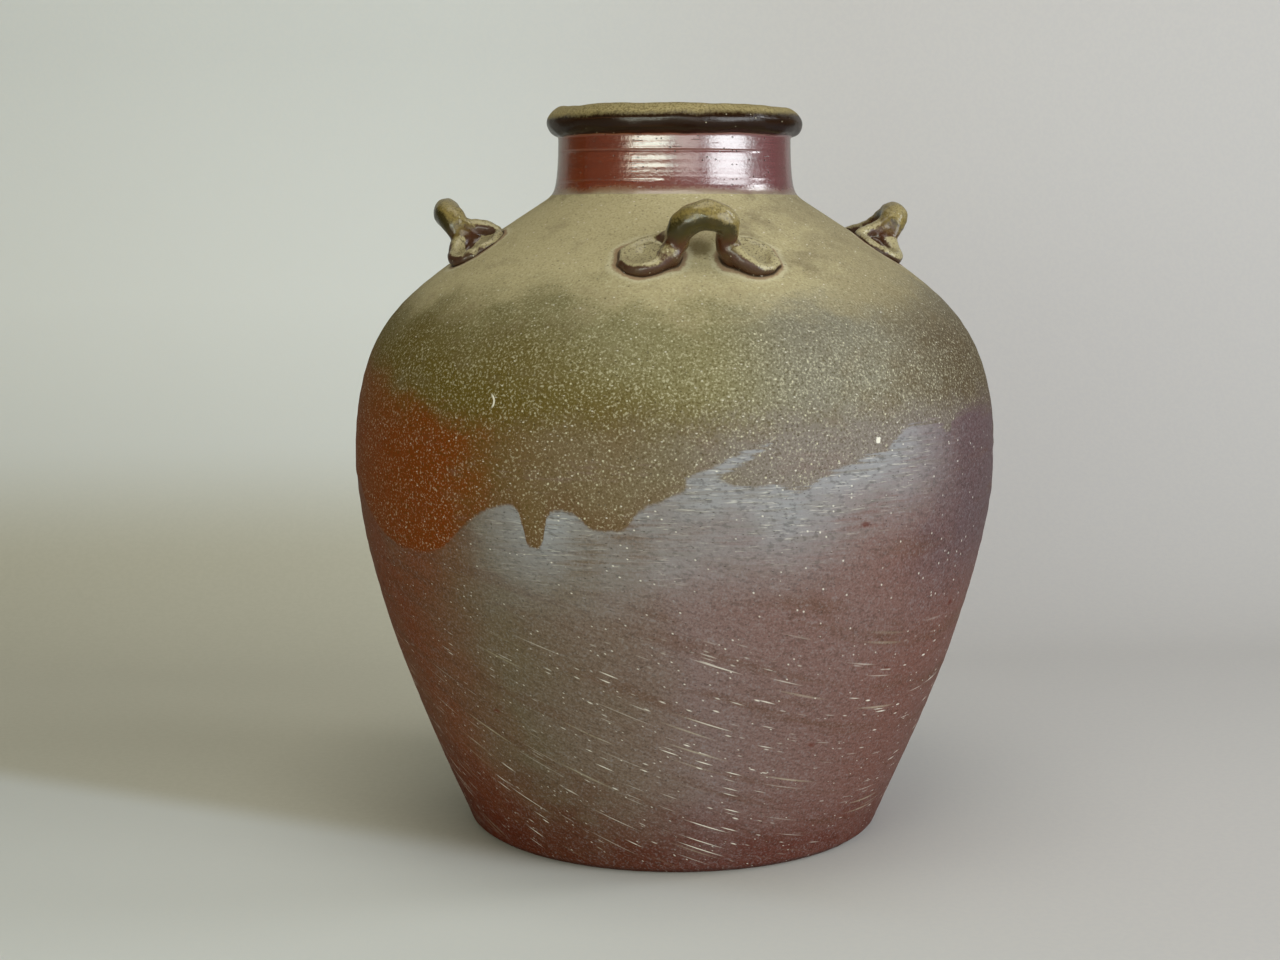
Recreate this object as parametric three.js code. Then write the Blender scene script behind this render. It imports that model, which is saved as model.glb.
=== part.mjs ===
// Four-lugged stoneware jar: millimetres, +Z up, origin at the centre of the base.
// The jar is turned about Z. One lug faces -Y, and the others stand at quarter turns from it.

import * as THREE from 'three';

// Heights, each measured up from the one before it
const bellyHeight = 167;
const shoulderRise = 90;
const slopeRise = 25;
const collarHeight = 25.5;
const lipHeight = 12.5;

// Outside radii, and how far one part stands out past the next
const footRadius = 91.6;
const bellyRadius = 142.5;
const neckRadius = 51.4;
const neckSpread = 2.2;
const slopeRun = 38.8;
const lipOverhang = 5.1;

// How far the outline holds its direction at each end of a curve: more makes it fuller there
const footLean = 0.36;
const footFullness = 18;
const lowerBellyFullness = 60;
const upperBellyFullness = 46.7;
const shoulderFullness = 45.2;
const neckFlare = 8;

// Clay thicknesses and worked corners
const wall = 8;
const floor = 12;
const neckWall = 7;
const footBevel = 2.5;
const floorFillet = 12;
const lipUndercut = 0.1 * Math.PI;
const lipChamfer = 1.4;

// Lugs: along is round the jar, across is up and down the slope of the shoulder
const lugGap = 10.6;
const lugTopCoil = 12;
const lugLegCoil = 9.4;
const lugTopWidth = 12.6;
const lugLegWidth = 13.4;
const legFillet = 1.2;
const padThickness = 6.4;
const padReach = 32.6;
const padHollow = 2.6;
const padFlare = 0.85;
const flareEase = 1.5;
const padStraight = 0.45;
const padTaper = 0.55;
const padEdgeDrop = 0.4;
const padEdgeEase = 6;
const padSquareness = 0.55;
const lutingGap = 0.3;

// Each lug is pinched and set by hand. Setback is from the neck down the slope to its middle, and sway and
// lean say how far its top is off along and across.
const lugs = [
  { name: 'lug_front', quarter: 0, setback: 46, height: 25.4, padWidth: 26, sway: 1.2, lean: -0.5 },
  { name: 'lug_right', quarter: 1, setback: 42, height: 23.6, padWidth: 23, sway: -0.6, lean: -1.5 },
  { name: 'lug_back', quarter: 2, setback: 43.5, height: 24.6, padWidth: 25, sway: 0.8, lean: 0.6 },
  { name: 'lug_left', quarter: 3, setback: 41.6, height: 25.2, padWidth: 27, sway: -1, lean: -2.8 },
];

// Facets
const turns = 64;
const curveSteps = 60;
const wallSteps = 10;
const collarSteps = 4;
const lipSteps = 12;
const filletSteps = 3;
const sectionPoints = 14;
const archSteps = 5;
const bendSteps = 4;
const padSteps = 6;

// Worked out from the sizes above
const shoulderHeight = bellyHeight + shoulderRise;
const neckHeight = shoulderHeight + slopeRise;
const lipSeat = neckHeight + collarHeight;
const neckBaseRadius = neckRadius + neckSpread;
const mouthRadius = neckRadius - neckWall;

const clay = {
  floor: { color: 0x6b4a3a, roughness: 0.85 },
  lowerWall: { color: 0x7d6459, roughness: 0.6 },
  upperWall: { color: 0x8f8a62, roughness: 0.62 },
  collar: { color: 0x7a4a38, roughness: 0.35 },
  lip: { color: 0x5a4a36, roughness: 0.35 },
  lug: { color: 0x8a7a45, roughness: 0.45 },
};

const { lerp, smoothstep } = THREE.MathUtils;
const point = (radius, height) => new THREE.Vector2(radius, height);
const neckCorner = point(neckBaseRadius, neckHeight);
const shoulderBreak = point(neckBaseRadius + slopeRun, shoulderHeight);
const upSlope = neckCorner.clone().sub(shoulderBreak).normalize();

// Outside of the walls: one curve from the foot to the belly, one over the shoulder, then a straight slope
function wallOutline() {
  const foot = point(footRadius, 0);
  const belly = point(bellyRadius, bellyHeight);
  const lower = new THREE.CubicBezierCurve(
    foot,
    point(footRadius + footFullness * Math.sin(footLean), footFullness * Math.cos(footLean)),
    point(bellyRadius, bellyHeight - lowerBellyFullness),
    belly,
  );
  const upper = new THREE.CubicBezierCurve(
    belly,
    point(bellyRadius, bellyHeight + upperBellyFullness),
    shoulderBreak.clone().addScaledVector(upSlope, -shoulderFullness),
    shoulderBreak,
  );
  return [...lower.getPoints(curveSteps), ...upper.getPoints(curveSteps).slice(1), neckCorner];
}

// Inside of the walls: one wall thickness in from the outside, running on into the mouth of the collar
function wallInside(outside) {
  const line = outside.map((here, i) => {
    const before = outside[Math.max(i - 1, 0)];
    const after = outside[Math.min(i + 1, outside.length - 1)];
    const along = after.clone().sub(before).normalize();
    return point(here.x - wall * along.y, here.y + wall * along.x);
  });
  const top = line.at(-1);
  const toMouth = (mouthRadius - top.x) / upSlope.x;
  return [...line, top.clone().addScaledVector(upSlope, toMouth), point(mouthRadius, neckHeight)];
}

// The radius of a line of points at a height
function radiusAt(line, height) {
  const i = line.findIndex((p, k) => k > 0 && p.y >= height && line[k - 1].y < height);
  if (i < 0) return height <= line[0].y ? line[0].x : line.at(-1).x;
  const [low, high] = [line[i - 1], line[i]];
  return lerp(low.x, high.x, (height - low.y) / (high.y - low.y));
}

// Part of a line between two heights, in steps that are even along it
function stretch(line, low, high, steps) {
  const between = line.filter((p) => p.y > low && p.y < high);
  const path = [point(radiusAt(line, low), low), ...between, point(radiusAt(line, high), high)];
  const lengths = [0];
  for (let i = 1; i < path.length; i += 1) lengths.push(lengths[i - 1] + path[i].distanceTo(path[i - 1]));
  return Array.from({ length: steps + 1 }, (_, k) => {
    if (k === 0 || k === steps) return path.at(k === 0 ? 0 : -1).clone();
    const goal = (lengths.at(-1) * k) / steps;
    const i = lengths.findIndex((length) => length > goal);
    return path[i - 1].clone().lerp(path[i], (goal - lengths[i - 1]) / (lengths[i] - lengths[i - 1]));
  });
}

// A profile of radius and height turned about Z, with its first point facing -Y
const turned = (profile) => new THREE.LatheGeometry(profile, turns).rotateX(Math.PI / 2);
const closed = (profile) => [...profile, profile[0].clone()];

const outline = wallOutline();
const inside = wallInside(outline);

function baseSlab() {
  return turned([
    point(0, 0),
    point(footRadius - footBevel, 0),
    point(radiusAt(outline, footBevel), footBevel),
    point(radiusAt(outline, floor), floor),
    point(0, floor),
  ]);
}

// The lower wall stands on the slab, with a coil of clay worked into its inner corner.
function lowerWall() {
  const filletTop = floor + floorFillet;
  const filletCentre = point(radiusAt(inside, filletTop) - floorFillet, filletTop);
  const fillet = Array.from({ length: filletSteps }, (_, k) => {
    const angle = ((k + 1) / (filletSteps + 1)) * (Math.PI / 2);
    return point(Math.cos(angle), -Math.sin(angle)).multiplyScalar(floorFillet).add(filletCentre);
  });
  return turned(closed([
    ...stretch(outline, floor, bellyHeight, wallSteps),
    ...stretch(inside, filletTop, bellyHeight, wallSteps).reverse(),
    ...fillet,
    point(filletCentre.x, floor),
  ]));
}

function upperWall() {
  return turned(closed([
    ...stretch(outline, bellyHeight, neckHeight, wallSteps + 1),
    ...stretch(inside, bellyHeight, neckHeight, wallSteps + 1).reverse(),
  ]));
}

function neckCollar() {
  const outside = new THREE.QuadraticBezierCurve(
    neckCorner,
    point(neckRadius, neckHeight + neckFlare),
    point(neckRadius, lipSeat),
  );
  return turned(closed([
    ...outside.getPoints(collarSteps),
    point(mouthRadius, lipSeat),
    point(mouthRadius, neckHeight),
  ]));
}

// The lip is rolled outward: an ellipse in section, flat where it sits on the collar and flush inside.
// Its upper outer quarter is thinned by the chamfer, a power that is 1 for a plain ellipse.
function rimRoll() {
  const halfWidth = (neckWall + lipOverhang) / 2;
  const halfHeight = lipHeight / 2;
  const centre = point(mouthRadius + halfWidth, lipSeat + halfHeight);
  const roll = Array.from({ length: lipSteps + 1 }, (_, k) => {
    const angle = lerp(lipUndercut - Math.PI / 2, Math.PI, k / lipSteps);
    const power = angle > 0 && angle < Math.PI / 2 ? lipChamfer : 1;
    const across = halfWidth * Math.sign(Math.cos(angle)) * Math.abs(Math.cos(angle)) ** power;
    const up = halfHeight * Math.sign(Math.sin(angle)) * Math.abs(Math.sin(angle)) ** power;
    return point(centre.x + across, centre.y + up);
  });
  roll[0].y = lipSeat;
  return turned(closed([...roll, point(mouthRadius, lipSeat)]));
}

// Half of a lug's spine, from the top of the arch down the leg and out to the tip of the pad.
// Each station has its place along and out from the shoulder, the way it faces, and its section.
function halfSpine({ height, padWidth }) {
  const archCentre = height - lugTopCoil - lugGap / 2;
  const bend = lugLegCoil / 2 + legFillet;
  const bendStart = (lugGap + lugLegCoil) / 2 + bend;
  const bendCentre = padThickness / 2 + bend;
  const stations = [];
  for (let k = 0; k <= archSteps; k += 1) {
    const angle = (1 - k / archSteps) * (Math.PI / 2);
    const facing = point(Math.cos(angle), Math.sin(angle));
    const thickness = lerp(lugTopCoil, lugLegCoil, smoothstep(k, 0, archSteps));
    const width = lerp(lugTopWidth, lugLegWidth, k / archSteps);
    const at = point(0, archCentre).addScaledVector(facing, (lugGap + thickness) / 2);
    stations.push({ at, facing, width, thickness, squareness: 0, hollow: 0 });
  }
  for (let k = 0; k < bendSteps; k += 1) {
    const share = k / bendSteps;
    const facing = point(Math.cos((share * Math.PI) / 2), Math.sin((share * Math.PI) / 2));
    const at = point(bendStart, bendCentre).addScaledVector(facing, -bend);
    const width = lerp(lugLegWidth, padWidth, padFlare * share ** flareEase);
    const thickness = lerp(lugLegCoil, padThickness, share);
    stations.push({ at, facing, width, thickness, squareness: share, hollow: 0 });
  }
  for (let k = 0; k <= padSteps; k += 1) {
    const share = k / padSteps;
    const rounding = 1 - padTaper * Math.max(0, (share - padStraight) / (1 - padStraight)) ** 2;
    const flare = lerp(padFlare, 1, smoothstep(share, 0, padStraight));
    const width = lerp(lugLegWidth, padWidth, flare) * rounding;
    const thickness = padThickness * (1 - padEdgeDrop * share ** padEdgeEase);
    const at = point(lerp(bendStart, padReach, share), thickness / 2);
    const hollow = padHollow * Math.sin(Math.PI * share);
    stations.push({ at, facing: point(0, 1), width, thickness, squareness: 1, hollow });
  }
  return stations;
}

// How far the shoulder lies above the flat plane through the lug's centre, along the way the lug stands up
function shoulderAbovePlane(seat, along, across) {
  const outward = point(upSlope.y, -upSlope.x);
  let [low, high] = [-bellyRadius, bellyRadius];
  for (let k = 0; k < 40; k += 1) {
    const middle = (low + high) / 2;
    const probe = seat.clone().addScaledVector(upSlope, across).addScaledVector(outward, middle);
    if (Math.hypot(along, probe.x) > radiusAt(outline, probe.y)) high = middle;
    else low = middle;
  }
  return high;
}

// A lug is a loft of rings along its spine. Every point is lifted by the shoulder under it, so that the
// thumb-pressed pads follow the round shoulder one luting gap above it.
function lugGeometry(lug) {
  const half = halfSpine(lug);
  const mirrored = half.slice(1).reverse().map((station) => ({
    ...station,
    at: point(-station.at.x, station.at.y),
    facing: point(-station.facing.x, station.facing.y),
  }));
  const seat = neckCorner.clone().addScaledVector(upSlope, -lug.setback);
  const outward = point(upSlope.y, -upSlope.x);

  const place = (along, across, out) => {
    const rise = Math.max(out, 0) / lug.height;
    const alongNow = along + lug.sway * rise;
    const acrossNow = across + lug.lean * rise;
    const lifted = Math.max(out, 0) + lutingGap + shoulderAbovePlane(seat, alongNow, acrossNow);
    const spot = seat.clone().addScaledVector(upSlope, acrossNow).addScaledVector(outward, lifted);
    return [alongNow, -spot.x, spot.y];
  };

  const ring = ({ at, facing, width, thickness, squareness, hollow }) =>
    Array.from({ length: sectionPoints }, (_, k) => {
      const angle = (2 * Math.PI * k) / sectionPoints;
      const across = (width / 2) * Math.cos(angle);
      const round = Math.abs(Math.sin(angle)) ** (1 - padSquareness * squareness);
      const dish = Math.sin(angle) > 0 ? hollow * Math.sin(angle) ** 2 : 0;
      const out = Math.sign(Math.sin(angle)) * (thickness / 2) * round - dish;
      return place(at.x + facing.x * out, across, at.y + facing.y * out);
    });

  const rings = [...mirrored, ...half].map(ring);
  const middleOf = (points) =>
    [0, 1, 2].map((axis) => points.reduce((sum, p) => sum + p[axis], 0) / points.length);
  const vertices = [...rings.flat(), middleOf(rings[0]), middleOf(rings.at(-1))];
  const startCap = vertices.length - 2;
  const endCap = vertices.length - 1;
  const faces = [];
  for (let k = 0; k < sectionPoints; k += 1) {
    const next = (k + 1) % sectionPoints;
    for (let i = 0; i < rings.length - 1; i += 1) {
      const here = i * sectionPoints;
      const there = here + sectionPoints;
      faces.push(here + k, here + next, there + next, here + k, there + next, there + k);
    }
    const last = (rings.length - 1) * sectionPoints;
    faces.push(startCap, next, k, endCap, last + k, last + next);
  }
  const geometry = new THREE.BufferGeometry();
  geometry.setAttribute('position', new THREE.Float32BufferAttribute(vertices.flat(), 3));
  geometry.setIndex(faces);
  geometry.computeVertexNormals();
  return geometry;
}

const jar = new THREE.Group();

function add(name, geometry, { color, roughness }) {
  const mesh = new THREE.Mesh(geometry, new THREE.MeshStandardMaterial({ color, roughness, metalness: 0 }));
  mesh.name = name;
  jar.add(mesh);
  return mesh;
}

add('base_slab', baseSlab(), clay.floor);
add('lower_wall', lowerWall(), clay.lowerWall);
add('upper_wall', upperWall(), clay.upperWall);
add('neck_collar', neckCollar(), clay.collar);
add('rim_roll', rimRoll(), clay.lip);
lugs.forEach((lug) => {
  add(lug.name, lugGeometry(lug), clay.lug).rotation.z = (lug.quarter * Math.PI) / 2;
});

export default jar;
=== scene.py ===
import math

import bpy
import numpy as np
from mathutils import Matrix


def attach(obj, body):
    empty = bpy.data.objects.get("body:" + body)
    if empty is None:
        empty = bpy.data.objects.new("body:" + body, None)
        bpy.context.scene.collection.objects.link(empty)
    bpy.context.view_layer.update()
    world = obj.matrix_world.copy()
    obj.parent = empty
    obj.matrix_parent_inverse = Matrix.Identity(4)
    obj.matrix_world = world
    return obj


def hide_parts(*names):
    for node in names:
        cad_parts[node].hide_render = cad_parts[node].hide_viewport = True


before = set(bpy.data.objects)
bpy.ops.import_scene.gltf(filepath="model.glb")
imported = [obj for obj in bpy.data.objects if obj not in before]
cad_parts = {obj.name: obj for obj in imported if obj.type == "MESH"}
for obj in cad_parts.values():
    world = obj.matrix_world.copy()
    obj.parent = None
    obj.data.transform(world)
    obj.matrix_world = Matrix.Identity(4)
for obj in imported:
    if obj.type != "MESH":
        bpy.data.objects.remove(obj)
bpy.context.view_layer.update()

MM = 0.001
# Columns round the jar, and the distance between the points of its section, in millimetres
SEGMENTS = 512
LINE_STEP = 0.2

# Sizes in millimetres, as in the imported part
FOOT_RADIUS = 91.6
BELLY_RADIUS = 142.5
BELLY_HEIGHT = 167.0
SHOULDER_RADIUS = 92.4
SHOULDER_HEIGHT = 257.0
NECK_BASE_RADIUS = 53.6
NECK_RADIUS = 51.4
NECK_HEIGHT = 282.0
MOUTH_RADIUS = 44.4
LIP_SEAT = 307.5
LIP_HALF_WIDTH = 6.05
LIP_HALF_HEIGHT = 6.25
LIP_CHAMFER = 1.4
WALL = 8.0
FLOOR = 12.0
FLOOR_FILLET = 12.0
FOOT_BEVEL = 2.5

# How far the handles of the outline's curves reach: up from the foot, which leans out by this angle, below
# and above the widest part, down from the shoulder, and up the foot of the neck
FOOT_HANDLE, FOOT_LEAN = 18, 0.36
BELLY_LOW_HANDLE, BELLY_HIGH_HANDLE = 60, 46.7
SHOULDER_HANDLE = 45.2
NECK_HANDLE = 8

# Corners of the section are averaged over this much of its length, and over more where the neck rises
SOFTENED, NECK_SOFTENED, NECK_REACH = 0.7, 2.6, 9

UP_SLOPE = np.array([NECK_BASE_RADIUS - SHOULDER_RADIUS, NECK_HEIGHT - SHOULDER_HEIGHT])
UP_SLOPE /= np.linalg.norm(UP_SLOPE)
OUTWARD = np.array([UP_SLOPE[1], -UP_SLOPE[0]])


# Lines of radius and height
def bezier(points, steps=200):
    points = [np.array(p, float) for p in points]
    t = np.linspace(0, 1, steps)[:, None]
    while len(points) > 1:
        points = [(1 - t) * a + t * b for a, b in zip(points, points[1:])]
    return points[0]


def lengths_of(line):
    steps = np.hypot(*np.diff(line, axis=0).T)
    return np.concatenate([[0], np.cumsum(steps)])


def places_at(line, lengths, goals):
    """The radius and height of a line of known lengths, at other lengths."""
    return np.array([np.interp(goals, lengths, line[:, k]) for k in (0, 1)])


def evened(line, step):
    lengths = lengths_of(line)
    return places_at(line, lengths, np.arange(0, lengths[-1], step)).T


def wall_outside():
    """The outside of the wall from the foot to the neck."""
    foot_side = (FOOT_RADIUS + FOOT_HANDLE * math.sin(FOOT_LEAN), FOOT_HANDLE * math.cos(FOOT_LEAN))
    belly = (BELLY_RADIUS, BELLY_HEIGHT)
    below = (BELLY_RADIUS, BELLY_HEIGHT - BELLY_LOW_HANDLE)
    above = (BELLY_RADIUS, BELLY_HEIGHT + BELLY_HIGH_HANDLE)
    shoulder = np.array([SHOULDER_RADIUS, SHOULDER_HEIGHT])
    lower = bezier([(FOOT_RADIUS, 0), foot_side, below, belly])
    upper = bezier([belly, above, shoulder - SHOULDER_HANDLE * UP_SLOPE, shoulder])
    slope = bezier([shoulder, (NECK_BASE_RADIUS, NECK_HEIGHT)], 40)
    return np.vstack([lower, upper[1:], slope[1:]])


OUTSIDE = wall_outside()


def radius_at(height):
    return np.interp(height, OUTSIDE[:, 1], OUTSIDE[:, 0])


def lip_line():
    """The rolled lip from the outside of the neck to the mouth, with its upper outer quarter chamfered."""
    angle = np.linspace(-0.4 * math.pi, math.pi, 80)
    power = np.where(angle < 0, 0.9, np.where(angle < math.pi / 2, LIP_CHAMFER, 1.0))
    across, up = (np.sign(wave) * np.abs(wave) ** power for wave in (np.cos(angle), np.sin(angle)))
    lip = np.stack([MOUTH_RADIUS + LIP_HALF_WIDTH * (1 + across),
                    LIP_SEAT + LIP_HALF_HEIGHT * (1 + up)], axis=1)
    lip[0, 1] = LIP_SEAT
    return lip


def skin_line():
    """The whole section of the jar, from the middle of its underside, up the outside, over the lip and
    down the inside to the middle of the floor, with its worked corners softened."""
    bevel = [(FOOT_RADIUS - FOOT_BEVEL, 0), (radius_at(FOOT_BEVEL), FOOT_BEVEL)]
    outside = OUTSIDE[OUTSIDE[:, 1] > FOOT_BEVEL]
    neck = bezier([(NECK_BASE_RADIUS, NECK_HEIGHT), (NECK_RADIUS, NECK_HEIGHT + NECK_HANDLE),
                   (NECK_RADIUS, LIP_SEAT)], 60)
    mouth = bezier([(MOUTH_RADIUS, LIP_SEAT + LIP_HALF_HEIGHT), (MOUTH_RADIUS, NECK_HEIGHT)], 40)
    along = np.gradient(OUTSIDE, axis=0)
    along /= np.linalg.norm(along, axis=1)[:, None]
    inside = (OUTSIDE + WALL * np.stack([-along[:, 1], along[:, 0]], axis=1))[::-1]
    step = (MOUTH_RADIUS - inside[0, 0]) / UP_SLOPE[0]
    corner = inside[0] + step * UP_SLOPE
    fillet_top = FLOOR + FLOOR_FILLET
    inside = inside[inside[:, 1] > fillet_top]
    centre = np.array([inside[-1, 0] - FLOOR_FILLET, fillet_top])
    turn = np.linspace(0, math.pi / 2, 30)[:, None]
    fillet = centre + FLOOR_FILLET * np.hstack([np.cos(turn), -np.sin(turn)])
    path = [[(0, 0)], bevel, outside, neck, lip_line(), mouth[1:], [corner], inside, fillet, [(0, FLOOR)]]
    return softened(evened(np.vstack(path), LINE_STEP))


def softened(line):
    """The line averaged over a little of its length, and over more of it where the neck rises."""
    def blurred(width):
        reach = int(4 * width / LINE_STEP)
        weights = np.exp(-0.5 * (np.arange(-reach, reach + 1) * LINE_STEP / width) ** 2)
        weights /= weights.sum()
        padded = np.pad(line, ((reach, reach), (0, 0)), mode="reflect", reflect_type="odd")
        return np.stack([np.convolve(padded[:, k], weights, "valid") for k in (0, 1)], axis=1)
    away = (line - (NECK_BASE_RADIUS, NECK_HEIGHT)) / NECK_REACH
    near = (np.exp(-(away ** 2).sum(axis=1) ** 2) * (line[:, 0] > 50.5))[:, None]
    out = blurred(SOFTENED) * (1 - near) + blurred(NECK_SOFTENED) * near
    out[0] = (0, 0)
    out[-1] = (0, FLOOR)
    out[:, 0] = np.maximum(out[:, 0], 0)
    return out


SKIN = skin_line()
SKIN_LENGTHS = lengths_of(SKIN)
TURN = int(np.argmax(SKIN[:, 1]))


def length_at(height, inside=False):
    """How far along the skin a height comes, on the outside or on the inside."""
    part = slice(TURN, None) if inside else slice(0, TURN)
    heights, lengths = SKIN[part, 1], SKIN_LENGTHS[part]
    i = int(np.argmax(heights < height) if inside else np.argmax(heights > height))
    share = (height - heights[i - 1]) / (heights[i] - heights[i - 1])
    return lengths[i - 1] + share * (lengths[i] - lengths[i - 1])


# Unevenness from the wheel and the hand, in millimetres, which closes on itself round the jar
def ripple(seed, count, turns, waves):
    """A sum of waves in the angle round the jar and the length along its skin."""
    rng = np.random.default_rng(seed)
    return [(int(rng.integers(turns[0], turns[1] + 1)) * (1 if rng.random() < 0.5 else -1),
             2 * math.pi / rng.uniform(*waves), rng.uniform(0, 2 * math.pi),
             rng.uniform(0.5, 1) / math.sqrt(count)) for _ in range(count)]


def rippled(waves, angle, length):
    return sum(size * np.cos(turns * angle + pace * length + start) for turns, pace, start, size in waves)


LUMPS = ripple(3, 26, (2, 13), (28, 120))
RIBS = ripple(5, 14, (0, 3), (5, 14))
NECK_RIBS = ripple(8, 12, (0, 2), (1.8, 5))
LIP_WAVES = ripple(13, 16, (1, 9), (20, 60))
LIP_BEADS = ripple(17, 14, (8, 34), (9, 30))
INNER_RIBS = ripple(21, 10, (0, 2), (7, 13))


# How high each of them stands, and how thick the ash lies
LUMP_SIZE, RIB_SIZE, NECK_RIB_SIZE, INNER_RIB_SIZE = 0.22, 0.07, 0.035, 0.4
LIP_WAVE_SIZE, LIP_BEAD_SIZE, LIP_SAG, LIP_BEAD_SAG, LIP_LIFT = 0.28, 0.1, 0.55, 0.18, 0.35
ASH_THICKNESS = 0.3
FOOT_RING, FOOT_HOLLOW = 8, 0.8

# Cuts by grains of grit while the neck turned: height, how far it wanders, first and last angle in degrees,
# depth and half width
NECK_CUTS = [(300.5, 0.25, -82, 42, 0.42, 0.42), (287.7, 0, -95, -8, 0.25, 0.4),
             (296.2, 0, 95, 172, 0.3, 0.4)]


def smooth(value, low, high):
    """A smooth step from zero at low to one at high."""
    t = np.clip((value - low) / (high - low), 0, 1)
    return t * t * (3 - 2 * t)


def neck_cuts(angle, height):
    """How deep the cuts round the neck are at an angle and a height."""
    degrees = np.degrees(angle)
    total = 0
    for level, wander, start, end, depth, width in NECK_CUTS:
        present = smooth(degrees, start, start + 12) * (1 - smooth(degrees, end - 10, end))
        above = height - level + wander * np.sin(angle + 1)
        total = total + depth * present * np.exp(-(above / width) ** 2)
    return total


# The ash that ran down in the firing ends in an edge with a few runs, given here as angle in degrees and
# height, with zero at the front lug. Runs are angle, depth and half width.
FLOW_EDGE = [
    (-180, 152), (-160, 166), (-141, 158), (-122, 146), (-104, 152), (-90, 160), (-80, 160), (-75, 152),
    (-68, 142), (-60, 137), (-52, 137), (-48, 140), (-45, 146), (-42, 152), (-38, 158), (-34, 161),
    (-24, 160), (-14, 160), (-11.7, 162), (-9.6, 163), (-7.4, 166), (-3.6, 171), (-2.2, 175), (0.4, 175),
    (1.4, 171), (3.7, 170), (6.7, 169), (8.2, 171.5), (10.6, 169), (12.8, 167), (15.2, 168), (18.6, 175),
    (21.7, 177), (28.9, 180.5), (32.5, 186), (35.4, 189.5), (43.2, 190), (57, 194), (70, 190), (88, 176),
    (104, 168), (122, 178), (140, 171), (160, 156), (180, 152)]
RUNS = [(-29, 16, 1.9), (-17, 7.5, 3.9), (-112, 15, 2.1), (-134, 21, 2.3), (-150, 9, 2.8), (45.6, 5, 1.3),
        (76, 13, 1.9), (97, 8, 2.8), (118, 20, 2.2), (131, 9, 2.6), (152, 14, 1.9), (170, 7, 3.0)]
# A bare tongue that reaches up into the ash: angle, height and half thickness at its ends and between
TONGUE = [(-4.6, 171.6, 2.0), (-3.6, 172.9, 2.2), (1.7, 178.3, 2.0), (6.0, 183.6, 1.1), (8.6, 186.4, 0.2)]


def edge_line(degrees, reach, count):
    """The height of the ash's edge without its runs, averaged over the reach to each side."""
    at_corners, heights = np.array(FLOW_EDGE, float).T
    offsets = np.linspace(-reach, reach, count)
    return sum(np.interp(degrees + d, at_corners, heights, period=360) for d in offsets) / count


def flow_edge(degrees):
    """The height of the ash's edge, with its runs."""
    runs = sum(depth / (1 + ((degrees - at) / half) ** 6) for at, depth, half in RUNS)
    return edge_line(degrees, 1.2, 5) - runs


def below_edge(degrees, height):
    """How far a place is below the broad line of the ash's edge."""
    return edge_line(degrees, 9, 13) - height


def above_edge(degrees, height):
    """How far a place is above the ash's edge, less than zero on bare clay."""
    at, middle, half = np.array(TONGUE).T
    off_tongue = np.abs(height - np.interp(degrees, at, middle)) - np.interp(degrees, at, half)
    beside = np.maximum(at[0] - degrees, degrees - at[-1])
    off_tongue = np.maximum(off_tongue, 2.4 * beside)
    return np.minimum(height - flow_edge(degrees), off_tongue)


def skin_points(length, angle):
    """Points of the finished skin in millimetres, with a row for each length and a column for each angle."""
    length = np.asarray(length, float)[:, None]
    angle = np.asarray(angle, float)[None, :]
    back, (radius, height), on = (places_at(SKIN, SKIN_LENGTHS, length + gap)
                                  for gap in (-2 * LINE_STEP, 0, 2 * LINE_STEP))
    ahead = on - back
    size = np.hypot(*ahead)
    out_r, out_z = ahead[1] / size, -ahead[0] / size
    outside = length < SKIN_LENGTHS[TURN]

    # The wall: out of round, lumpy and ribbed, with the ash thickest at its edge
    full = np.clip(radius / BELLY_RADIUS, 0, 1) ** 2
    uneven = 0.42 * np.cos(2 * angle + 0.7) + 0.2 * np.cos(3 * angle + 2.2)
    uneven = uneven + LUMP_SIZE * rippled(LUMPS, angle, length) + RIB_SIZE * rippled(RIBS, angle, length)
    ran = above_edge(np.degrees(angle), height)
    ash = ASH_THICKNESS * smooth(ran, -1.0, 1.4) * (1 - 0.45 * smooth(ran, 2, 26))
    push = smooth(height, 1, 14) * (1 - smooth(height, 278, 292)) * (full * uneven + ash)

    # The neck and the lip
    on_neck = smooth(height, 281, 286) * (1 - smooth(height, 305, 308))
    push = push + on_neck * (NECK_RIB_SIZE * rippled(NECK_RIBS, angle, length) - neck_cuts(angle, height))
    on_lip = smooth(height, 307.2, 309.5)
    push = push + on_lip * (LIP_WAVE_SIZE * rippled(LIP_WAVES, angle, length)
                            + LIP_BEAD_SIZE * rippled(LIP_BEADS, angle, length))
    inner = smooth(height, 24, 40) * (1 - smooth(height, 296, 306))
    inside = on_lip * push + inner * INNER_RIB_SIZE * rippled(INNER_RIBS, angle, length)
    push = np.where(outside, push, inside)
    radius = radius + push * out_r
    height = height + push * out_z
    sag = LIP_SAG * rippled(LIP_WAVES, angle + 1.3, 4.0) + LIP_BEAD_SAG * rippled(LIP_BEADS, angle, 2.0)
    under_lip = smooth(height, 306.2, 308.2) * (1 - smooth(height, 309.5, 314)) * outside
    height = height + under_lip * sag + LIP_LIFT * on_lip * rippled(LIP_WAVES, angle, 9.0)

    # The underside is hollow inside the ring that it stands on
    ring = FOOT_RADIUS - FOOT_RING
    under = (length < length_at(1.5)) & (radius < ring)
    height = height + under * FOOT_HOLLOW * smooth(ring - radius, 0, 14)
    return np.stack([radius * np.sin(angle), -radius * np.cos(angle), height + 0 * angle], axis=2)


ANGLES = 2 * math.pi * np.arange(SEGMENTS) / SEGMENTS - math.pi
SEAM_V = 0.003
COARSE = 1.0


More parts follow.
